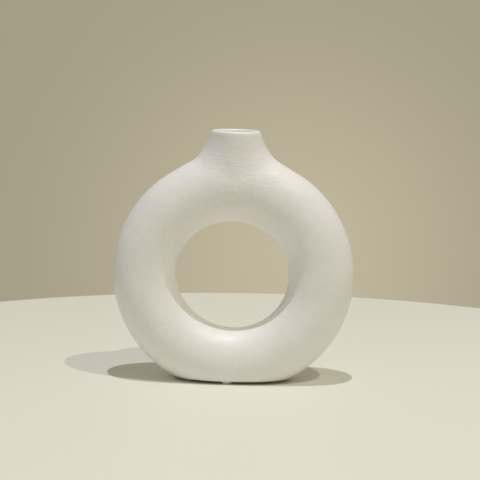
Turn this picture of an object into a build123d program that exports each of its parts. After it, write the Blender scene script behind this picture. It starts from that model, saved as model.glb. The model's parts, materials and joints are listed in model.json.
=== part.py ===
from build123d import *
import os
from math import cos, radians, sin, sqrt

os.makedirs("parts", exist_ok=True)

# Sizes in millimetres. The origin is on the table, under the middle of the vase.
# The ring stands in the XZ plane, its open middle looks along Y and the mouth opens up.
# The front is towards -Y.

# The ceramic wall, and the rounding of the lip as a share of it
wall = 4.5
lip_rounding_share = 0.44

# Ring: an upright tube bent into a full circle. Its section is an oval of four tangent arcs,
# with tight side arcs outside and inside the ring and slow face arcs on its front and back.
ring_outer_radius = 95.5
ring_inner_radius = 44.25
ring_depth = 45.0
side_arc_turn = 68.0

# Flat underside, ground off the foot of the ring as a share of the tube's half width
flat_cut_share = 0.5073
floor_thickness = 5.0
base_edge_radius = 3.0

# Neck: a slow taper, wide where it enters the ring and round at the lip, which is a little
# narrower than the ring is deep. Its root is an oval inside the tube, level with its middle.
neck_rise = 20.0
lip_inset = 2.5
neck_root_half_width = 29.7
neck_root_inset = 1.4
shoulder_radius = 36.0

# Mouth: a short straight bore, then a throat that widens into the hollow ring
mouth_length = 9.0
throat_radius_share = 0.6

# Both tapers are drawn past their tops by this share of their height and trimmed level,
# so that the curves at their roots have room to run out.
overrun_share = 0.5

# Self-adhesive bumpers, set by hand and so a little out of line
bumper_radius = 4.9
bumper_height = 2.0
bumper_edge_chamfer = 0.5
end_bumper_gap = 4.4
side_bumper_gap = 9.7
front_bumper_shift = -3.3
back_bumper_shift = 1.6
left_bumper_lead = 4.0
right_bumper_lead = 2.6

# The ring's own sizes, and its place above the table
tube_centre_radius = (ring_outer_radius + ring_inner_radius) / 2
tube_half_width = (ring_outer_radius - ring_inner_radius) / 2
tube_half_depth = ring_depth / 2
flat_below_centre = ring_outer_radius - tube_half_width * flat_cut_share
flat_half_width = sqrt(ring_outer_radius**2 - flat_below_centre**2)
ring_centre_height = bumper_height + flat_below_centre
floor_height = bumper_height + floor_thickness
total_height = ring_centre_height + ring_outer_radius + neck_rise

# The neck and the mouth
lip_rounding = wall * lip_rounding_share
lip_radius = tube_half_depth - lip_inset
mouth_radius = lip_radius - wall
neck_root_half_depth = tube_half_depth - neck_root_inset
neck_root_height = ring_centre_height + tube_centre_radius
neck_height = total_height - neck_root_height
mouth_bottom_height = total_height - lip_rounding - mouth_length
throat_height = mouth_bottom_height - neck_root_height
throat_radius = throat_height * throat_radius_share
throat_root_half_width = neck_root_half_width - wall
throat_root_half_depth = neck_root_half_depth - wall

# Radii of the oval's arcs, from the turn at which a side arc hands over to a face arc
turn_cos = cos(radians(side_arc_turn))
turn_sin = sin(radians(side_arc_turn))
side_arc_radius = (
    tube_half_depth * turn_cos - tube_half_width * (1 - turn_sin)
) / (turn_cos + turn_sin - 1)
side_arc_centre = tube_half_width - side_arc_radius

ring_axis = Axis((0, 0, ring_centre_height), (0, 1, 0))
ring_section_plane = Plane(origin=(-tube_centre_radius, 0, ring_centre_height))
underside_plane = Plane.XY.offset(bumper_height)
floor_plane = Plane.XY.offset(floor_height)
neck_root_plane = Plane.XY.offset(neck_root_height)
neck_overrun_plane = Plane.XY.offset(total_height + neck_height * overrun_share)
top_plane = Plane.XY.offset(total_height)
mouth_bottom_plane = Plane.XY.offset(mouth_bottom_height)
throat_overrun_plane = Plane.XY.offset(mouth_bottom_height + throat_height * overrun_share)

def tube_section(inset):
    """The tube's oval section, moved in by an even inset."""
    side = tube_half_width - inset
    face = tube_half_depth - inset
    joint_x = side_arc_centre + (side_arc_radius - inset) * turn_cos
    joint_y = (side_arc_radius - inset) * turn_sin
    with BuildSketch(ring_section_plane) as section:
        with BuildLine():
            ThreePointArc((-joint_x, joint_y), (0, face), (joint_x, joint_y))
            ThreePointArc((joint_x, joint_y), (side, 0), (joint_x, -joint_y))
            ThreePointArc((joint_x, -joint_y), (0, -face), (-joint_x, -joint_y))
            ThreePointArc((-joint_x, -joint_y), (-side, 0), (-joint_x, joint_y))
        make_face()
    return section.sketch

def overrun(root_size, top_size):
    """A taper's half width where it is drawn past its top."""
    return top_size + (top_size - root_size) * overrun_share

# The hollow inside: a ring one wall smaller all round, with a throat that narrows upwards
with BuildPart() as hollow:
    revolve(tube_section(wall), axis=ring_axis)
    with BuildSketch(neck_root_plane):
        Ellipse(throat_root_half_width, throat_root_half_depth)
    with BuildSketch(throat_overrun_plane):
        Ellipse(
            overrun(throat_root_half_width, mouth_radius),
            overrun(throat_root_half_depth, mouth_radius),
        )
    loft()
    fillet(hollow.edges(Select.NEW), radius=throat_radius)
    split(bisect_by=mouth_bottom_plane, keep=Keep.BOTTOM)
    split(bisect_by=floor_plane, keep=Keep.TOP)

# The vase: one piece of white ceramic
with BuildPart() as vase_body:
    revolve(tube_section(0), axis=ring_axis)
    with BuildSketch(neck_root_plane):
        Ellipse(neck_root_half_width, neck_root_half_depth)
    with BuildSketch(neck_overrun_plane):
        Ellipse(
            overrun(neck_root_half_width, lip_radius),
            overrun(neck_root_half_depth, lip_radius),
        )
    loft()
    fillet(vase_body.edges(Select.NEW), radius=shoulder_radius)
    split(bisect_by=top_plane, keep=Keep.BOTTOM)
    split(bisect_by=underside_plane, keep=Keep.TOP)
    fillet(vase_body.edges().group_by(Axis.Z)[0], radius=base_edge_radius)
    add(hollow.part, mode=Mode.SUBTRACT)
    # The mouth is bored from inside the throat up through the lip
    with BuildSketch(neck_root_plane):
        Circle(mouth_radius)
    extrude(amount=neck_height, mode=Mode.SUBTRACT)
    fillet(vase_body.edges().group_by(Axis.Z)[-1], radius=lip_rounding)

vase_body.part.label = "vase_body"
export_step(vase_body.part, "parts/vase_body.step")

# Clear bumpers stuck under the flat: front, back, left and right
end_bumper_reach = tube_half_depth - end_bumper_gap - bumper_radius
side_bumper_reach = flat_half_width - side_bumper_gap - bumper_radius
bumper_places = {
    "bumper_front": (front_bumper_shift, -end_bumper_reach),
    "bumper_back": (back_bumper_shift, end_bumper_reach),
    "bumper_left": (-side_bumper_reach, -left_bumper_lead),
    "bumper_right": (side_bumper_reach, -right_bumper_lead),
}
for name, place in bumper_places.items():
    with BuildPart() as bumper:
        with BuildSketch(Plane.XY):
            with Locations(place):
                Circle(bumper_radius)
        extrude(amount=bumper_height)
        chamfer(bumper.edges().group_by(Axis.Z)[0], length=bumper_edge_chamfer)
    bumper.part.label = name
    export_step(bumper.part, f"parts/{name}.step")
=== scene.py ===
"""A ring shaped vase in white stoneware on silicone bumpers, dressed around its measured frame."""

import json
from math import cos, pi, sin

import bmesh
import bpy
from bpy.props import FloatProperty, FloatVectorProperty, IntProperty, PointerProperty
from mathutils import Matrix, Vector


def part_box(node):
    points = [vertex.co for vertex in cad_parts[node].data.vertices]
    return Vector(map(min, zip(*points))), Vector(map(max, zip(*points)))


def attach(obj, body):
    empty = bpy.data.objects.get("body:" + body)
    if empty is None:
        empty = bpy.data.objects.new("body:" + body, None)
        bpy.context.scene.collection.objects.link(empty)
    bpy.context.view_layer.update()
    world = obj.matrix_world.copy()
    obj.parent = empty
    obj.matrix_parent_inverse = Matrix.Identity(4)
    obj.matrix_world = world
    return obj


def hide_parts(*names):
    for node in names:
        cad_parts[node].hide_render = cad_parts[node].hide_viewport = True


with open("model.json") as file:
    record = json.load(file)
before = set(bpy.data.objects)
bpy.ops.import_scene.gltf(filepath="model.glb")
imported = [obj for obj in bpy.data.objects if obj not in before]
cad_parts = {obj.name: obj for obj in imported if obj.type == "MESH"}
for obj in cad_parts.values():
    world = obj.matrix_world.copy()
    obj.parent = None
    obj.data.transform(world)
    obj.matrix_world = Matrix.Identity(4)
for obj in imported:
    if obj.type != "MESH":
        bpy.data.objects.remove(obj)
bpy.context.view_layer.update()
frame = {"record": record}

bl_info = {
    "name": "Ring Vase",
    "version": (1, 0, 0),
    "blender": (4, 5, 0),
    "location": "3D View > Sidebar > Ring Vase",
    "description": "Builds a ring shaped stoneware vase, its silicone bumpers and a plain stage",
    "category": "Add Mesh",
}

# Every length is in metres. The origin is on the table, under the middle of the vase.
MM = 0.001
BODY_LOW, BODY_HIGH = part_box("vase_body")
MOUTH = next(mount for mount in frame["record"]["mounts"] if mount["name"] == "neck_mouth")
MOUTH_RADIUS = MOUTH["dims"]["r_mm"] * MM
BUMPERS = ("front", "back", "left", "right")

# The vase's cage: rows round the ring, columns round its tube, how far the square patch that the
# neck stands on reaches from its middle, and loops up the neck, over the lip's edges and down
RING_ROWS = 80
TUBE_COLUMNS = 28
PATCH_REACH = 4
NECK_SIDES = 8 * PATCH_REACH
OUTER_NECK_LOOPS = 3
LIP_EDGE_LOOPS = 1
THROAT_LOOPS = 3

# This attribute is 0 on the outer skin and 1 on the inner one, and the lip's crest is half way
INSIDE = "inside"
CREST = 0.5

# How often the cage's squares are halved, and how often their corners then move to the skin
FINENESS = 2
SETTLE_STEPS = 10

# The skin's slope is read over this step
SLOPE_STEP = 0.05 * MM

# Two divisors stay above these: the slope squared, and how far two skins turn from each other
LEAST_SLOPE = 0.04
LEAST_TURN = 0.0001

# The ring's outside starts to climb toward the neck at this sine of its turn
CROWN_START = 0.86

# The neck ends below its root, where the distance grows this many times faster
ROOT_CUT = 4

# The lip's edges are rounded this many times taller than wide
LIP_DROP = 1.8

# Zones of the clay, each as its end and its fade: the still foot, above the underside, and the
# leaning lip, below the lip's top
STILL_FOOT = (2 * MM, 12 * MM)
LEANING_LIP = (0, 25 * MM)

# Shorter waves lie on the slow ones: how many times shorter, and their share of the height
SHORTER = 3
SHORTER_SHARE = 0.3

# Zones of the glaze, in the same way: the lip's top, which the painted shade on the neck spares,
# the neck, darkened by painted shade below the lip, and the neck's sponge lines, all below the
# lip's top, and the dark brown underside, up from the underside's level
UNSHADED_LIP = (1 * MM, 3 * MM)
SHADED_NECK = (12 * MM, 22 * MM)
LINED_NECK = (32 * MM, 30 * MM)
DARK_UNDERSIDE = (0.2 * MM, 0.4 * MM)

# Widths of the glaze's clouds, specks, orange peel and sponge lines, and how slowly the lines
# change on their way round
CLOUD_WIDTH = 22 * MM
SPECK_WIDTH = 2.6 * MM
PEEL_WIDTH = 4.5 * MM
LINE_WIDTH = 1.5 * MM
LINE_STRETCH = 0.14

# Heights of the grain, the orange peel and the sponge lines, in millimetres
GRAIN_HEIGHT = 0.075
PEEL_HEIGHT = 0.10
LINE_HEIGHT = 0.09

# How thin the glaze lies, from 0 to 1, what clouds and specks add to that, and how much painted
# shade darkens the neck below the lip
THINNESS = 0.3
CLOUD_THINNESS = 0.35
SPECK_THINNESS = 0.2
NECK_PAINTED_SHADE = 0.55

# What specks, clouds and the dark brown underside add to the glaze's dullness
SPECK_DULLNESS = 0.05
CLOUD_DULLNESS = 0.04
UNDERSIDE_DULLNESS = 0.3

# The silicone's haze and ripples, the ripples' height in millimetres, and how it bends light
HAZE_WIDTH = 1.5 * MM
HAZE_DULLNESS = 0.06
HAZE_SHADE = 0.96
RIPPLE_WIDTH = 2.2 * MM
RIPPLE_HEIGHT = 0.03
SILICONE_IOR = 1.41

# A bumper's sides and rows, how far its rim curls up and its side leans in, as shares of its
# height and its radius, and how much of the quarter oval the curl follows
BUMPER_SIDES = 48
BUMPER_ROWS = 8
CURL_SHARE = 0.72
LEAN_SHARE = 0.025
OVAL_SHARE = 0.98

# The camera: its place, its turn to the left, its tilt down and its lean in radians, and its
# lens's length and its sensor's width in millimetres
CAMERA_PLACE = (27.7 * MM, -939.1 * MM, 262.0 * MM)
CAMERA_TURN = 0.0244
CAMERA_TILT = -0.1570
CAMERA_LEAN = -0.0191
CAMERA_LENS = 90
CAMERA_SENSOR = 36

# The round table top: its middle, in front of the vase, its thickness and its sides
TABLE_MIDDLE = (24 * MM, -183 * MM)
TABLE_THICKNESS = 18 * MM
TABLE_SIDES = 256

# Its paint, with the width and the shade of the faint clouds in it
TABLE_ROUGHNESS = 0.5
TABLE_CLOUD_WIDTH = 300 * MM
TABLE_CLOUD_SHADE = 0.97

# Two small round lamps overhead, which throw the two shadows: their places, the point that both
# look at, their width and their tints
KEY_PLACE = (0.808, -0.718, 2.131)
SECOND_PLACE = (0.048, -0.282, 1.973)
LAMP_AIM = (0, 0, 0.08)
LAMP_WIDTH = 0.02
KEY_TINT = (1.0, 0.971, 0.818)
SECOND_TINT = (0.89, 0.895, 1.0)

# The soft glow on the backdrop lies this way from the vase. The powers keep it and the cool
# light from the left together.
GLOW_WAY = (0.02, 0.985, -0.17)
GLOW_FOCUS = 80
LEFT_FOCUS = 3


# Settings

def length(name, default, description):
    """A length property in metres."""
    return FloatProperty(
        name=name,
        default=default,
        description=description,
        min=-1,
        max=10,
        precision=5,
        subtype="DISTANCE",
        unit="LENGTH",
    )


def share(name, default, description):
    """A property from 0 to 1."""
    return FloatProperty(
        name=name, default=default, description=description, min=0, max=1, subtype="FACTOR"
    )


def colour(name, default, description):
    """A linear colour property."""
    return FloatVectorProperty(
        name=name, default=default, description=description, min=0, max=1, subtype="COLOR"
    )


def power(name, default, description):
    """A lamp's power in watts."""
    return FloatProperty(name=name, default=default, description=description, min=0, unit="POWER")


class VaseSizes(bpy.types.PropertyGroup):
    """Sizes of the body"""

    ring_radius: length("Ring Radius", (BODY_HIGH.x - BODY_LOW.x) / 2, "Outside of the ring")
    hole_radius: length("Hole Radius", 44.1 * MM, "Open middle of the ring")
    half_depth: length("Half Depth", (BODY_HIGH.y - BODY_LOW.y) / 2, "Half the ring's depth")
    ring_height: length("Ring Height", 85.1 * MM, "Middle of the ring above the table")
    ring_squash: length("Ring Squash", 0.3 * MM, "How far the wet ring settled out of round")
    hole_shift: length("Hole Shift", -0.8 * MM, "How far the open middle sits to one side")
    hole_oval: length("Hole Oval", 0.85 * MM, "How far the open middle is out of round")
    hole_lean: length("Hole Lean", 0.5 * MM, "How far that oval leans down to the right")
    crown: length("Crown", 5.2 * MM, "How far the ring's outside climbs under the neck")
    neck_root_width: length("Neck Root Width", 26 * MM, "Neck's half width inside the ring")
    neck_root_depth: length("Neck Root Depth", 22.4 * MM, "Neck's half depth inside the ring")
    lip_radius: length("Lip Radius", 18.6 * MM, "Outside of the lip")
    mouth_radius: length("Mouth Radius", MOUTH_RADIUS, "Bore of the mouth")
    top_height: length("Top Height", BODY_HIGH.z, "The lip above the table")
    shoulder_radius: length("Shoulder Radius", 38.5 * MM, "Curve from the neck into the ring")
    throat_radius: length("Throat Radius", 20.8 * MM, "Curve from the throat into the hollow")
    mouth_length: length("Mouth Length", 11 * MM, "Straight bore with its rounded lip")
    lip_rounding: length("Lip Rounding", 1.3 * MM, "Rounding of the lip's outer edge")
    mouth_rounding: length("Mouth Rounding", 1.8 * MM, "Rounding of the lip's inner edge")
    foot_height: length("Foot Height", BODY_LOW.z, "The flat underside above the table")
    foot_edge: length("Foot Edge", 1.3 * MM, "Rounding of the underside's edge")
    floor_thickness: length("Floor Thickness", 5 * MM, "Clay left above the flat underside")
    wall: length("Wall", 4.5 * MM, "Thickness of the clay")


class HandWork(bpy.types.PropertyGroup):
    """How far the fired body strays from its sizes"""

    unevenness: length("Unevenness", 0.35 * MM, "Height of the slow waves in the clay")
    wave_length: length("Wave Length", 45 * MM, "Width of the slow waves in the clay")
    lip_tilt: length("Lip Tilt", 0.2 * MM, "How far one side of the lip stands higher")
    seed: IntProperty(name="Seed", default=7, min=0, description="Picks another set of waves")


class GlazeFinish(bpy.types.PropertyGroup):
    """The satin glaze"""

    white: colour("White", (0.925, 0.905, 0.88), "Where the glaze lies thick")
    # The glaze also takes this tone up the neck, as painted shade below the lip
    thin: colour("Thin", (0.815, 0.79, 0.75), "Where the glaze breaks thin")
    # Dark brown on the flat underside, which darkens the shaded gap under the vase
    clay: colour("Clay", (0.36, 0.30, 0.23), "The bare underside")
    roughness: share("Roughness", 0.46, "Dullness of the glaze")
    coat: share("Coat", 0.16, "How much shine lies over the glaze")
    coat_roughness: share("Coat Roughness", 0.32, "Dullness of that shine")
    grain: length("Grain", 1.0 * MM, "Width of the fine sandy grain")


class BumperFinish(bpy.types.PropertyGroup):
    """The silicone bumpers"""

    tint: colour("Tint", (0.93, 0.92, 0.95), "Colour of the silicone")
    roughness: share("Roughness", 0.16, "Dullness of the silicone")
    clearness: share("Clearness", 0.12, "How much light passes through the silicone")
    dome: share("Dome", 0.45, "How far the underside is domed")


class StageSettings(bpy.types.PropertyGroup):
    """Table, room light and lamps"""

    table: colour("Table", (0.86, 0.85, 0.745), "The round pale table top")
    room: colour("Room", (0.256, 0.242, 0.189), "The room's light from everywhere")
    left: colour("Left", (0.0, 0.024, 0.114), "Cool daylight added from the left")
    overhead: colour("Overhead", (0.035, 0.032, 0.050), "Light added from above")
    front: colour("Front", (0.095, 0.099, 0.081), "Light added from behind the camera")
    back: colour("Back", (0.118, 0.097, 0.052), "Light added from behind the vase")
    glow: colour("Glow", (0.16, 0.14, 0.10), "The soft glow on the backdrop")
    table_radius: length("Table Radius", 529 * MM, "Radius of the table top")
    key_power: power("Key Power", 13.0, "Power of the first lamp")
    second_power: power("Second Power", 16.2, "Power of the second lamp")


SETTINGS = {
    "vase_sizes": VaseSizes,
    "vase_hand_work": HandWork,
    "vase_glaze": GlazeFinish,
    "vase_bumpers": BumperFinish,
    "vase_stage": StageSettings,
}


# Rules written as sums

class Term:
    """A number flowing through a node tree, so that a rule is written as plain sums"""

    def __init__(self, tree, socket):
        self.tree = tree
        self.socket = socket

    def __add__(self, other):
        return maths(self.tree, "ADD", self, other)

    def __radd__(self, other):
        return maths(self.tree, "ADD", other, self)

    def __sub__(self, other):
        return maths(self.tree, "SUBTRACT", self, other)

    def __rsub__(self, other):
        return maths(self.tree, "SUBTRACT", other, self)

    def __mul__(self, other):
        return maths(self.tree, "MULTIPLY", self, other)

    def __rmul__(self, other):
        return maths(self.tree, "MULTIPLY", other, self)

    def __neg__(self):
        return maths(self.tree, "SUBTRACT", 0, self)

    def __truediv__(self, other):
        return maths(self.tree, "DIVIDE", self, other)

    def __rtruediv__(self, other):
        return maths(self.tree, "DIVIDE", other, self)


def wire(tree, value, place):
    """Feeds a node's input with a term, or sets it to a plain value."""
    if isinstance(value, Term):
        tree.links.new(value.socket, place)
    else:
        place.default_value = value


def node(tree, kind, settings=None, **inputs):
    """Adds a node, sets it up and feeds its inputs, whose names are written with underscores."""
    made = tree.nodes.new(kind)
    for name, value in (settings or {}).items():
        setattr(made, name, value)
    for name, value in inputs.items():
        wire(tree, value, made.inputs[name.replace("_", " ")])
    return made


def term(tree, kind, settings=None, **inputs):
    """Adds a node in the same way and gives its first output as a term."""
    return Term(tree, node(tree, kind, settings, **inputs).outputs[0])


def sums(tree, kind, operation, values):
    """One step of arithmetic with numbers or vectors, whose inputs share their names."""
    made = node(tree, kind, {"operation": operation})
    for value, place in zip(values, made.inputs):
        wire(tree, value, place)
    return Term(tree, made.outputs[0])


def maths(tree, operation, *values):
    """One step of arithmetic with numbers."""
    return sums(tree, "ShaderNodeMath", operation, values)


def vector_maths(tree, operation, *values):
    """One step of arithmetic with vectors."""
    return sums(tree, "ShaderNodeVectorMath", operation, values)


def most(first, second):
    """The larger of two, the first a term."""
    return maths(first.tree, "MAXIMUM", first, second)


def least(first, second):
    """The smaller of two, the first a term."""
    return maths(first.tree, "MINIMUM", first, second)


def root(value):
    """Square root of a term."""
    return maths(value.tree, "SQRT", value)


def across(*sides):
    """Length of the vector with these sides."""
    total = sides[0] * sides[0]
    for side in sides[1:]:
        total = total + side * side
    return root(total)


def between(low, high, along):
    """From low to high as along goes from 0 to 1."""
    return low + (high - low) * along


def above(value, limit):
    """1 where value is above limit, else 0."""
    return maths(value.tree, "GREATER_THAN", value, limit)


def clamped(value):
    """A term kept from 0 to 1."""
    return least(most(value, 0), 1)


def fading(value, end, fade):
    """1 up to this end, then down to 0 over this fade."""
    return clamped((end + fade - value) / fade)


def parts_of(tree, vector):
    """The x, y and z of a vector."""
    made = node(tree, "ShaderNodeSeparateXYZ", Vector=vector)
    return [Term(tree, out) for out in made.outputs]


def joined(tree, x, y, z):
    """A vector of three terms or numbers."""
    return term(tree, "ShaderNodeCombineXYZ", X=x, Y=y, Z=z)


def waves(tree, place, wave_length, detail):
    """Soft noise from -1 to 1, with waves of about this length."""
    made = node(tree, "ShaderNodeTexNoise", Vector=place, Scale=1 / wave_length, Detail=detail)
    return Term(tree, made.outputs["Fac"]) * 2 - 1


def new_rule(name, inputs, outputs):
    """A geometry node tree with named inputs and outputs, as (tree, terms by name, output node)."""
    tree = bpy.data.node_groups.new(name, "GeometryNodeTree")
    for label, kind in inputs.items():
        tree.interface.new_socket(label, in_out="INPUT", socket_type="NodeSocket" + kind)
    for label, kind in outputs.items():
        tree.interface.new_socket(label, in_out="OUTPUT", socket_type="NodeSocket" + kind)
    start = tree.nodes.new("NodeGroupInput")
    end = tree.nodes.new("NodeGroupOutput")
    terms = {label: Term(tree, start.outputs[label]) for label in inputs}
    return tree, terms, end


def use_rule(tree, rule, values):
    """Puts one tree inside another and feeds it, as its first output."""
    made = tree.nodes.new("GeometryNodeGroup")
    made.node_tree = rule
    for label, value in values.items():
        wire(tree, value, made.inputs[label])
    return Term(tree, made.outputs[0])


def hand_over(tree, geometry, size, end):
    """Ends a tree with real, smooth geometry in its material."""
    smooth = term(tree, "GeometryNodeSetShadeSmooth", Geometry=geometry)
    real = term(tree, "GeometryNodeRealizeInstances", Geometry=smooth)
    dressed = term(tree, "GeometryNodeSetMaterial", Geometry=real, Material=size["Material"])
    wire(tree, dressed, end.inputs["Geometry"])


def grow(piece, rule, values):
    """Runs a geometry node tree on a piece and keeps the plain mesh that comes out."""
    modifier = piece.modifiers.new("Rule", "NODES")
    modifier.node_group = rule
    for item in rule.interface.items_tree:
        if item.in_out == "INPUT" and item.name in values:
            modifier[item.identifier] = values[item.name]
    bpy.context.view_layer.update()
    shaped = piece.evaluated_get(bpy.context.evaluated_depsgraph_get())
    mesh = bpy.data.meshes.new_from_object(shaped)
    piece.modifiers.remove(modifier)
    old = piece.data
    piece.data = mesh
    mesh.name = piece.name
    bpy.data.meshes.remove(old)
    if not mesh.vertices:
        raise RuntimeError(f"{rule.name} made nothing for {piece.name}")


# The vase's shape

SIZE_LABELS = [field.keywords["name"] for field in VaseSizes.__annotations__.values()]


def round_max(first, second, radius):
    """Where two solids overlap, with the edge between them rounded."""
    corner = across(most(first + radius, 0), most(second + radius, 0))
    return corner + least(most(first, second), -radius)


def oval_distance(scale, slope):
    """Nearly how far a point is from an oval, if the oval through it is scale times as large.

    Slope is how fast half the square of scale grows there.
    """
    return (scale - 1) * scale / slope


def ring_distance(size, x, y, z, inset):
    """How far a point is from the skin of the ring, and which way the skin faces there."""
    # Cosine and sine of the point's turn round the ring, and the cosine of twice that turn
    up = z - size["Ring Height"]
    reach = across(x, up)
    along = x / reach
    rise = up / reach
    flat = along * along - rise * rise
    # The ring's outside and its hole at that turn
    crown = clamped((rise - CROWN_START) / (1 - CROWN_START))
    outer = size["Ring Radius"] + size["Ring Squash"] * flat + size["Crown"] * crown * crown
    bend = size["Hole Oval"] * flat - size["Hole Lean"] * 2 * along * rise
    inner = size["Hole Radius"] + size["Hole Shift"] * along + bend
    # The tube's section between them is an oval, and the crown tips its skin on the way round
    half_width = (outer - inner) / 2 - inset
    half_depth = size["Half Depth"] - inset
    off = reach - (outer + inner) / 2
    scale = across(off / half_width, y / half_depth)
    slope_off = off / (half_width * half_width)
    slope_y = y / (half_depth * half_depth)
    climb = size["Crown"] * crown * along / (1 - CROWN_START)
    slope_round = -(slope_off * climb * (1 + off / half_width) / reach)
    slope = across(slope_off, slope_y, slope_round)
    facing_x = (slope_off * along - slope_round * rise) / slope
    facing_z = (slope_off * rise + slope_round * along) / slope
    return oval_distance(scale, slope), (facing_x, slope_y / slope, facing_z)


def neck_distance(size, x, y, z, inset, top, end):
    """The same for the neck, an oval at its root that turns round, of radius end, at its top."""
    height = top - size["Root Height"]
    along = least((z - size["Root Height"]) / height, 1)
    # The level section at this height is an oval, and the taper tips its skin upwards
    root_width = size["Neck Root Width"] - inset
    root_depth = size["Neck Root Depth"] - inset
    width = between(root_width, end, along)
    depth = between(root_depth, end, along)
    scale = across(x / width, y / depth)
    slope_x = x / (width * width)
    slope_y = y / (depth * depth)
    taper = slope_x * x * (end - root_width) / width
    flare = slope_y * y * (end - root_depth) / depth
    slope_z = -((taper + flare) / height)
    slope = across(slope_x, slope_y, slope_z)
    facing = (slope_x / slope, slope_y / slope, slope_z / slope)
    return oval_distance(scale, slope), facing


def rolled_union(first, second, radius):
    """Two skins joined by a ball of this radius rolled along the corner between them."""
    near, faces = first
    far, looks = second
    turn = faces[0] * looks[0] + faces[1] * looks[1] + faces[2] * looks[2]
    gap = radius - near
    other = radius - far
    spread = most(1 - turn * turn, LEAST_TURN)
    ball = root((gap * gap + other * other - 2 * turn * gap * other) / spread)
    # The ball's own skin counts only between the places where it touches the two
    in_corner = above(gap, turn * other) * above(other, turn * gap)
    plain = least(near, far)
    return plain + (radius - ball - plain) * in_corner


def distance_rule():
    """How far a point is from the skin it belongs to, outer or inner."""
    inputs = {"Position": "Vector", "Inside": "Float"}
    inputs.update({label: "Float" for label in SIZE_LABELS})
    tree, size, end = new_rule("Vase Distance", inputs, {"Distance": "Float"})
    x, y, z = parts_of(tree, size["Position"])
    inside = size["Inside"]
    inset = size["Wall"] * inside
    size["Root Height"] = size["Ring Height"] + (size["Ring Radius"] + size["Hole Radius"]) / 2
    neck_top = size["Top Height"] - size["Mouth Length"] * inside
    radius = between(size["Shoulder Radius"], size["Throat Radius"], inside)
    end_radius = between(size["Lip Radius"], size["Mouth Radius"], inside)
    lip_edge = between(size["Lip Rounding"], size["Mouth Rounding"], inside)
    ring = ring_distance(size, x, y, z, inset)
    neck, neck_faces = neck_distance(size, x, y, z, inset, neck_top, end_radius)
    below_root = (size["Root Height"] - z) * ROOT_CUT
    body = rolled_union(ring, (most(neck, below_root), neck_faces), radius)
    floor = size["Foot Height"] + size["Floor Thickness"] * inside
    body = round_max(body, floor - z, size["Foot Edge"])
    # The clay is within the outer skin but around the inner one, whose distance is turned round
    skin = round_max(body * (1 - 2 * inside), (z - size["Top Height"]) / LIP_DROP, lip_edge)
    wire(tree, skin, end.inputs["Distance"])
    return tree


def settle_rule(distance):
    """Moves a point straight onto its skin, down the slope of the distance."""
    inputs = {"Position": "Vector", "Inside": "Float"}
    inputs.update({label: "Float" for label in SIZE_LABELS})
    tree, size, end = new_rule("Settle on Skin", inputs, {"Position": "Vector"})
    here = size["Position"]
    start = use_rule(tree, distance, size)
    slopes = []
    for shift in Matrix.Identity(3):
        moved = dict(size)
        moved["Position"] = vector_maths(tree, "ADD", here, SLOPE_STEP * shift)
        slopes.append((use_rule(tree, distance, moved) - start) / SLOPE_STEP)
    steepness = slopes[0] * slopes[0] + slopes[1] * slopes[1] + slopes[2] * slopes[2]
    pull = start / most(steepness, LEAST_SLOPE)
    x, y, z = parts_of(tree, here)
    place = joined(tree, x - slopes[0] * pull, y - slopes[1] * pull, z - slopes[2] * pull)
    wire(tree, place, end.inputs["Position"])
    return tree


def vase_rule():
    """Turns the plain cage into the fired vase."""
    inputs = {"Geometry": "Geometry"}
    inputs.update({label: "Float" for label in SIZE_LABELS})
    inputs.update({"Fineness": "Int", "Steps": "Int", "Unevenness": "Float"})
    inputs.update({"Wave Length": "Float", "Lip Tilt": "Float", "Seed": "Int"})
    inputs["Material"] = "Material"
    tree, size, end = new_rule("Ring Vase", inputs, {"Geometry": "Geometry"})
    settle = settle_rule(distance_rule())
    attribute = node(tree, "GeometryNodeInputNamedAttribute", {"data_type": "FLOAT"}, Name=INSIDE)
    inside = above(Term(tree, attribute.outputs["Attribute"]), CREST)
    place = term(tree, "GeometryNodeInputPosition")

    # The cage, made finer and settled step by step
    fine = term(tree, "GeometryNodeSubdivideMesh", Mesh=size["Geometry"], Level=size["Fineness"])
    begin = tree.nodes.new("GeometryNodeRepeatInput")
    finish = tree.nodes.new("GeometryNodeRepeatOutput")
    begin.pair_with_output(finish)
    wire(tree, size["Steps"], begin.inputs["Iterations"])
    wire(tree, fine, begin.inputs["Geometry"])
    values = {label: size[label] for label in SIZE_LABELS}
    values.update({"Position": place, "Inside": inside})
    settled = term(
        tree,
        "GeometryNodeSetPosition",
        Geometry=Term(tree, begin.outputs["Geometry"]),
        Position=use_rule(tree, settle, values),
    )
    wire(tree, settled, finish.inputs["Geometry"])

    # Slow waves along the skin, fading out at the foot, and a lip that leans a little
    x, y, z = parts_of(tree, place)
    above_foot = z - size["Foot Height"]
    below_top = size["Top Height"] - z
    waving = (1 - fading(above_foot, *STILL_FOOT)) * (1 - inside)
    start = joined(tree, x, y, z + size["Seed"])
    long_waves = waves(tree, start, size["Wave Length"], 1.0)
    short_waves = waves(tree, start, size["Wave Length"] / SHORTER, 0.0)
    swell = (long_waves + short_waves * SHORTER_SHARE) * size["Unevenness"] * waving
    normal = term(tree, "GeometryNodeInputNormal")
    push = term(tree, "ShaderNodeVectorMath", {"operation": "SCALE"}, Vector=normal, Scale=swell)
    near_lip = fading(below_top, *LEANING_LIP)
    lean = size["Lip Tilt"] * near_lip * near_lip * x / size["Lip Radius"]
    uneven = term(
        tree,
        "GeometryNodeSetPosition",
        Geometry=Term(tree, finish.outputs["Geometry"]),
        Offset=vector_maths(tree, "ADD", push, joined(tree, 0, 0, -lean)),
    )
    hand_over(tree, uneven, size, end)
    return tree


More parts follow.
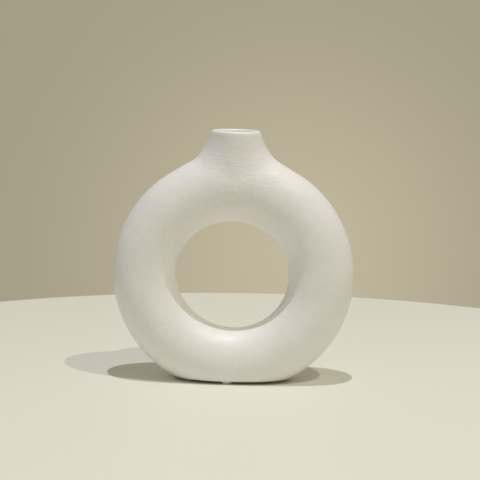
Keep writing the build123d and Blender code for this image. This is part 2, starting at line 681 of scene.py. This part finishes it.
class Cage:
    """The vase's skin in coarse squares, outer and inner, before it settles on its shape"""

    def __init__(self, sizes):
        self.sizes = sizes
        self.mesh = bmesh.new()
        self.layer = self.mesh.verts.layers.float.new(INSIDE)

    def vert(self, place, inside):
        """One corner of the cage."""
        made = self.mesh.verts.new(place)
        made[self.layer] = inside
        return made

    def ring(self, inside):
        """The ring's skin, with a square left open under the neck, as the open square's rim."""
        sizes = self.sizes
        inset = sizes.wall * inside
        middle = (sizes.ring_radius + sizes.hole_radius) / 2
        half_width = (sizes.ring_radius - sizes.hole_radius) / 2 - inset
        half_depth = sizes.half_depth - inset
        floor = sizes.foot_height + sizes.floor_thickness * inside
        grid = {}
        for row in range(RING_ROWS):
            turn = pi / 2 + 2 * pi * row / RING_ROWS
            from_top = min(row, RING_ROWS - row)
            for column in range(TUBE_COLUMNS):
                across_top = min(column, TUBE_COLUMNS - column)
                if max(from_top, across_top) < PATCH_REACH:
                    continue
                tilt = 2 * pi * column / TUBE_COLUMNS
                reach = middle + half_width * cos(tilt)
                height = sizes.ring_height + reach * sin(turn)
                place = (reach * cos(turn), half_depth * sin(tilt), max(height, floor))
                grid[row, column] = self.vert(place, inside)
        for row in range(RING_ROWS):
            for column in range(TUBE_COLUMNS):
                far_row = (row + 1) % RING_ROWS
                far_column = (column + 1) % TUBE_COLUMNS
                corners = [(row, column), (far_row, column), (far_row, far_column), (row, far_column)]
                if all(corner in grid for corner in corners) and not self.in_patch(row, column):
                    self.mesh.faces.new([grid[corner] for corner in corners])
        return [grid[corner] for corner in self.rim()]

    def in_patch(self, row, column):
        """Whether the square that starts here belongs to the open patch."""
        rows = row < PATCH_REACH or row >= RING_ROWS - PATCH_REACH
        columns = column < PATCH_REACH or column >= TUBE_COLUMNS - PATCH_REACH
        return rows and columns

    def rim(self):
        """The patch's rim, once round from its left front corner."""
        reach = PATCH_REACH
        steps = range(2 * reach)
        walk = [(reach - step, -reach) for step in steps]
        walk += [(-reach, -reach + step) for step in steps]
        walk += [(-reach + step, reach) for step in steps]
        walk += [(reach, reach - step) for step in steps]
        return [(row % RING_ROWS, column % TUBE_COLUMNS) for row, column in walk]

    def circle(self, radius, height, inside):
        """A round loop whose corners line up with the patch's rim, from the left front one."""
        corners = []
        for side in range(NECK_SIDES):
            turn = pi * 5 / 4 + 2 * pi * side / NECK_SIDES
            corners.append(self.vert((radius * cos(turn), radius * sin(turn), height), inside))
        return corners

    def loops_between(self, first, last, count):
        """Evenly spaced loops between two others."""
        loops = []
        for step in range(1, count + 1):
            along = step / (count + 1)
            loop = []
            for near, far in zip(first, last):
                loop.append(self.vert(near.co.lerp(far.co, along), near[self.layer]))
            loops.append(loop)
        return loops

    def bridge(self, loops):
        """Squares between each loop and the next."""
        for first, second in zip(loops, loops[1:]):
            for side in range(NECK_SIDES):
                far = (side + 1) % NECK_SIDES
                self.mesh.faces.new([first[side], first[far], second[far], second[side]])

    def finish(self, name):
        """Closes the cage and hands it over as a mesh."""
        sizes = self.sizes
        top = sizes.top_height
        outer_rim = self.ring(0)
        lip_outside = self.circle(sizes.lip_radius, top - sizes.lip_rounding * LIP_DROP, 0)
        lip_top = self.circle(sizes.mouth_radius + sizes.mouth_rounding, top, CREST)
        lip_inside = self.circle(sizes.mouth_radius, top - sizes.mouth_rounding * LIP_DROP, 1)
        bore_end = self.circle(sizes.mouth_radius, top - sizes.mouth_length, 1)
        inner_rim = self.ring(1)
        neck = self.loops_between(outer_rim, lip_outside, OUTER_NECK_LOOPS)
        outer_edge = self.loops_between(lip_outside, lip_top, LIP_EDGE_LOOPS)
        inner_edge = self.loops_between(lip_inside, lip_top, LIP_EDGE_LOOPS)
        throat = self.loops_between(bore_end, inner_rim, THROAT_LOOPS)
        lip = [lip_outside, *outer_edge, lip_top, *reversed(inner_edge), lip_inside]
        self.bridge([outer_rim, *neck, *lip, bore_end, *throat, inner_rim])
        bmesh.ops.recalc_face_normals(self.mesh, faces=self.mesh.faces)
        made = bpy.data.meshes.new(name)
        self.mesh.to_mesh(made)
        self.mesh.free()
        return made


def new_piece(name, mesh):
    """Links a mesh into the scene as an object at the origin."""
    piece = bpy.data.objects.new(name, mesh)
    bpy.context.scene.collection.objects.link(piece)
    return piece


def settings_by_label(settings):
    """A property group's values under the labels that the node trees use."""
    values = {}
    for name, prop in settings.bl_rna.properties.items():
        if name not in ("rna_type", "name"):
            values[prop.name] = getattr(settings, name)
    return values


# Materials

# The colour sockets of a Mix node, which has others of the same names
MIX_COLOURS = (6, 7)
MIX_RESULT = 2


def new_material(name):
    """A material with its main shader, as (material, tree, shader)."""
    material = bpy.data.materials.new(name)
    material.use_nodes = True
    tree = material.node_tree
    return material, tree, tree.nodes["Principled BSDF"]


def object_place(tree):
    """Where a shaded point is on the piece."""
    return Term(tree, node(tree, "ShaderNodeTexCoord").outputs["Object"])


def mixed(tree, first, second, along):
    """From the first colour to the second as along goes from 0 to 1."""
    made = node(tree, "ShaderNodeMix", {"data_type": "RGBA"}, Factor=along)
    for value, place in zip((first, second), MIX_COLOURS):
        wire(tree, value, made.inputs[place])
    return Term(tree, made.outputs[MIX_RESULT])


def clouded(tree, tint, noise, shade):
    """A colour that soft noise takes, in places, down to this share of its brightness."""
    darker = [part * shade for part in tint]
    return mixed(tree, (*tint, 1), (*darker, 1), clamped(noise * 0.5 + 0.5))


def raise_skin(tree, shader, height):
    """Gives a surface fine relief, its height in millimetres."""
    bump = term(tree, "ShaderNodeBump", Strength=1.0, Distance=MM, Height=height)
    wire(tree, bump, shader.inputs["Normal"])


def glaze_colour(tree, glaze, cloud, speck, neck, darkened):
    """Thick white glaze, thinner in clouds and specks, darkened up the neck by painted shade, and
    dark brown on the underside.
    """
    patches = cloud * CLOUD_THINNESS + speck * SPECK_THINNESS
    # The neck's share is painted shade, which darkens the glaze below the lip
    thin = clamped(patches + neck * NECK_PAINTED_SHADE + THINNESS)
    glazed = mixed(tree, (*glaze.white, 1), (*glaze.thin, 1), thin)
    return mixed(tree, glazed, (*glaze.clay, 1), darkened)


def glaze_material(glaze, sizes):
    """White satin glaze with a fine sandy grain, sponge lines and painted shade by the neck, and a
    dark brown underside.
    """
    material, tree, shader = new_material("satin_white_glaze")
    place = object_place(tree)
    x, y, z = parts_of(tree, place)
    above_foot = z - sizes.foot_height
    below_top = sizes.top_height - z
    cloud = waves(tree, place, CLOUD_WIDTH, 3.0)
    speck = waves(tree, place, SPECK_WIDTH, 2.0)
    # Painted shade on the neck: full from 4 to 12 mm below the lip's top, gone by 34 mm down and on
    # the lip's top itself
    neck_shade = fading(below_top, *SHADED_NECK)
    neck = neck_shade * neck_shade * (1 - fading(below_top, *UNSHADED_LIP))
    # The flat underside turns dark brown, dull and without shine, which darkens the shaded gap under
    # the vase
    darkened = fading(above_foot, *DARK_UNDERSIDE)
    tint = glaze_colour(tree, glaze, cloud, speck, neck, darkened)
    wire(tree, tint, shader.inputs["Base Color"])
    dull = speck * SPECK_DULLNESS + cloud * CLOUD_DULLNESS + darkened * UNDERSIDE_DULLNESS
    wire(tree, glaze.roughness + dull, shader.inputs["Roughness"])
    wire(tree, (1 - darkened) * glaze.coat, shader.inputs["Coat Weight"])
    wire(tree, glaze.coat_roughness, shader.inputs["Coat Roughness"])
    grain = waves(tree, place, glaze.grain, 2.0)
    peel = waves(tree, place, PEEL_WIDTH, 1.0)
    drawn_out = joined(tree, x * LINE_STRETCH, y * LINE_STRETCH, z)
    lines = waves(tree, drawn_out, LINE_WIDTH, 1.0) * fading(below_top, *LINED_NECK)
    raise_skin(tree, shader, grain * GRAIN_HEIGHT + peel * PEEL_HEIGHT + lines * LINE_HEIGHT)
    return material


def silicone_material(finish):
    """Soft milky silicone with a faint haze."""
    material, tree, shader = new_material("milky_silicone")
    place = object_place(tree)
    haze = waves(tree, place, HAZE_WIDTH, 2.0)
    wire(tree, finish.roughness + haze * HAZE_DULLNESS, shader.inputs["Roughness"])
    wire(tree, clouded(tree, finish.tint, haze, HAZE_SHADE), shader.inputs["Base Color"])
    wire(tree, finish.clearness, shader.inputs["Transmission Weight"])
    wire(tree, SILICONE_IOR, shader.inputs["IOR"])
    ripple = waves(tree, place, RIPPLE_WIDTH, 1.0)
    raise_skin(tree, shader, ripple * RIPPLE_HEIGHT)
    return material


def table_material(tint):
    """The pale table top's paint, with faint clouds."""
    material, tree, shader = new_material("pale_table")
    cloud = waves(tree, object_place(tree), TABLE_CLOUD_WIDTH, 3.0)
    wire(tree, clouded(tree, tint, cloud, TABLE_CLOUD_SHADE), shader.inputs["Base Color"])
    wire(tree, TABLE_ROUGHNESS, shader.inputs["Roughness"])
    return material


# Pieces

class VASE_OT_body(bpy.types.Operator):
    """Builds the hollow stoneware ring with its neck, in white glaze but for its dark brown underside
    """

    bl_idname = "ring_vase.body"
    bl_label = "Vase Body"

    def execute(self, context):
        sizes = context.scene.vase_sizes
        values = settings_by_label(sizes)
        values.update(settings_by_label(context.scene.vase_hand_work))
        values.update({"Fineness": FINENESS, "Steps": SETTLE_STEPS})
        values["Material"] = glaze_material(context.scene.vase_glaze, sizes)
        vase = new_piece("stoneware_vase", Cage(sizes).finish("stoneware_vase"))
        grow(vase, vase_rule(), values)
        vase.data.attributes.remove(vase.data.attributes[INSIDE])
        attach(vase, "root")
        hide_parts("vase_body")
        return {"FINISHED"}


def bumper_rule():
    """A stick-on bumper: a short disc with a soft domed underside."""
    inputs = {"Radius": "Float", "Height": "Float", "Centre": "Vector", "Dome": "Float"}
    inputs["Material"] = "Material"
    tree, size, end = new_rule("Stick-on Bumper", inputs, {"Geometry": "Geometry"})
    disc = term(
        tree,
        "GeometryNodeMeshCylinder",
        {"fill_type": "TRIANGLE_FAN"},
        Vertices=BUMPER_SIDES,
        Side_Segments=BUMPER_ROWS,
        Fill_Segments=BUMPER_ROWS,
        Radius=size["Radius"],
        Depth=size["Height"],
    )
    x, y, z = parts_of(tree, term(tree, "GeometryNodeInputPosition"))
    out = across(x, y) / size["Radius"]
    up = z / size["Height"] + 0.5
    # The underside's rim curls up as a quarter oval, and the side leans in a little at the top
    edge = clamped((out - 1 + size["Dome"]) / size["Dome"])
    curl = 1 - root(1 - edge * edge * OVAL_SHARE)
    lift = curl * CURL_SHARE * (1 - up)
    lean = 1 - up * up * LEAN_SHARE
    shaped = joined(tree, x * lean, y * lean, (up + lift) * size["Height"])
    soft = term(
        tree,
        "GeometryNodeSetPosition",
        Geometry=disc,
        Position=vector_maths(tree, "ADD", shaped, size["Centre"]),
    )
    hand_over(tree, soft, size, end)
    return tree


class VASE_OT_bumpers(bpy.types.Operator):
    """Sticks the silicone bumpers under the vase where the frame has them"""

    bl_idname = "ring_vase.bumpers"
    bl_label = "Bumpers"

    def execute(self, context):
        finish = context.scene.vase_bumpers
        rule = bumper_rule()
        silicone = silicone_material(finish)
        for side in BUMPERS:
            low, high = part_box(f"bumper_{side}")
            middle = (low + high) / 2
            values = {
                "Radius": (high.x - low.x) / 2,
                "Height": high.z - low.z,
                "Centre": (middle.x, middle.y, low.z),
                "Dome": finish.dome,
                "Material": silicone,
            }
            name = f"clear_bumper_{side}"
            bumper = new_piece(name, bpy.data.meshes.new(name))
            grow(bumper, rule, values)
            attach(bumper, "root")
            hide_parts(f"bumper_{side}")
        return {"FINISHED"}


# Stage

def add_table(stage):
    """The round table top, with its surface at height zero."""
    shape = bmesh.new()
    bmesh.ops.create_cone(
        shape,
        cap_ends=True,
        segments=TABLE_SIDES,
        radius1=stage.table_radius,
        radius2=stage.table_radius,
        depth=TABLE_THICKNESS,
        matrix=Matrix.Translation((*TABLE_MIDDLE, -TABLE_THICKNESS / 2)),
    )
    mesh = bpy.data.meshes.new("table_top")
    shape.to_mesh(mesh)
    shape.free()
    table = new_piece("table_top", mesh)
    mesh.materials.append(table_material(stage.table))


def add_lamp(name, place, watts, tint):
    """A small round lamp that looks at the vase."""
    light = bpy.data.lights.new(name, "AREA")
    light.shape = "DISK"
    light.size = LAMP_WIDTH
    light.energy = watts
    light.color = tint
    lamp = bpy.data.objects.new(name, light)
    lamp.location = place
    way = Vector(LAMP_AIM) - Vector(place)
    lamp.rotation_euler = way.to_track_quat("-Z", "Y").to_euler()
    bpy.context.scene.collection.objects.link(lamp)


def light_room(tree, stage):
    """The room's plain light, cooler on the left, with a soft glow behind the vase."""
    way = Term(tree, node(tree, "ShaderNodeTexCoord").outputs["Generated"])
    x, y, z = parts_of(tree, way)
    light = tuple(stage.room)
    toward_glow = x * GLOW_WAY[0] + y * GLOW_WAY[1] + z * GLOW_WAY[2]
    glow = maths(tree, "POWER", most(toward_glow, 0), GLOW_FOCUS)
    added = [
        (stage.left, maths(tree, "POWER", most(-x, 0), LEFT_FOCUS)),
        (stage.overhead, most(z, 0)),
        (stage.front, most(-y, 0)),
        (stage.back, most(y, 0)),
        (stage.glow, glow),
    ]
    for tint, strength in added:
        light = vector_maths(tree, "MULTIPLY_ADD", tuple(tint), strength, light)
    wire(tree, light, tree.nodes["Background"].inputs["Color"])


def add_camera():
    """The camera, where the photograph's was."""
    camera = bpy.data.objects.new("camera", bpy.data.cameras.new("camera"))
    camera.data.lens = CAMERA_LENS
    camera.data.sensor_width = CAMERA_SENSOR
    turned = (
        Matrix.Rotation(CAMERA_TURN, 4, "Z")
        @ Matrix.Rotation(CAMERA_TILT, 4, "X")
        @ Matrix.Rotation(CAMERA_LEAN, 4, "Y")
        @ Matrix.Rotation(pi / 2, 4, "X")
    )
    camera.matrix_world = Matrix.Translation(CAMERA_PLACE) @ turned
    bpy.context.scene.collection.objects.link(camera)
    bpy.context.scene.camera = camera


class VASE_OT_stage(bpy.types.Operator):
    """Sets a round table top, plain room light, two small lamps and the camera"""

    bl_idname = "ring_vase.stage"
    bl_label = "Stage"

    def execute(self, context):
        stage = context.scene.vase_stage
        add_table(stage)
        world = bpy.data.worlds.new("studio")
        world.use_nodes = True
        light_room(world.node_tree, stage)
        context.scene.world = world
        context.scene.view_settings.view_transform = "Standard"
        add_lamp("key", KEY_PLACE, stage.key_power, KEY_TINT)
        add_lamp("second", SECOND_PLACE, stage.second_power, SECOND_TINT)
        add_camera()
        return {"FINISHED"}


class VASE_PT_panel(bpy.types.Panel):
    """Lists the vase's pieces and its settings"""

    bl_idname = "VASE_PT_panel"
    bl_label = "Ring Vase"
    bl_space_type = "VIEW_3D"
    bl_region_type = "UI"
    bl_category = "Ring Vase"

    def draw(self, context):
        layout = self.layout
        for operator in OPERATORS:
            layout.operator(operator.bl_idname)
        for name, group in SETTINGS.items():
            box = layout.box()
            box.label(text=group.__doc__)
            for field in group.__annotations__:
                box.prop(getattr(context.scene, name), field)


OPERATORS = (VASE_OT_body, VASE_OT_bumpers, VASE_OT_stage)


def register():
    """Adds the classes and their settings."""
    for group in (*SETTINGS.values(), *OPERATORS, VASE_PT_panel):
        bpy.utils.register_class(group)
    for name, group in SETTINGS.items():
        setattr(bpy.types.Scene, name, PointerProperty(type=group))


def unregister():
    """Takes the classes and their settings away again."""
    for name in SETTINGS:
        delattr(bpy.types.Scene, name)
    for group in reversed((*SETTINGS.values(), *OPERATORS, VASE_PT_panel)):
        bpy.utils.unregister_class(group)


def main():
    """Builds the vase and its stage."""
    register()
    bpy.ops.ring_vase.body()
    bpy.ops.ring_vase.bumpers()
    bpy.ops.ring_vase.stage()


if __name__ == "__main__":
    main()
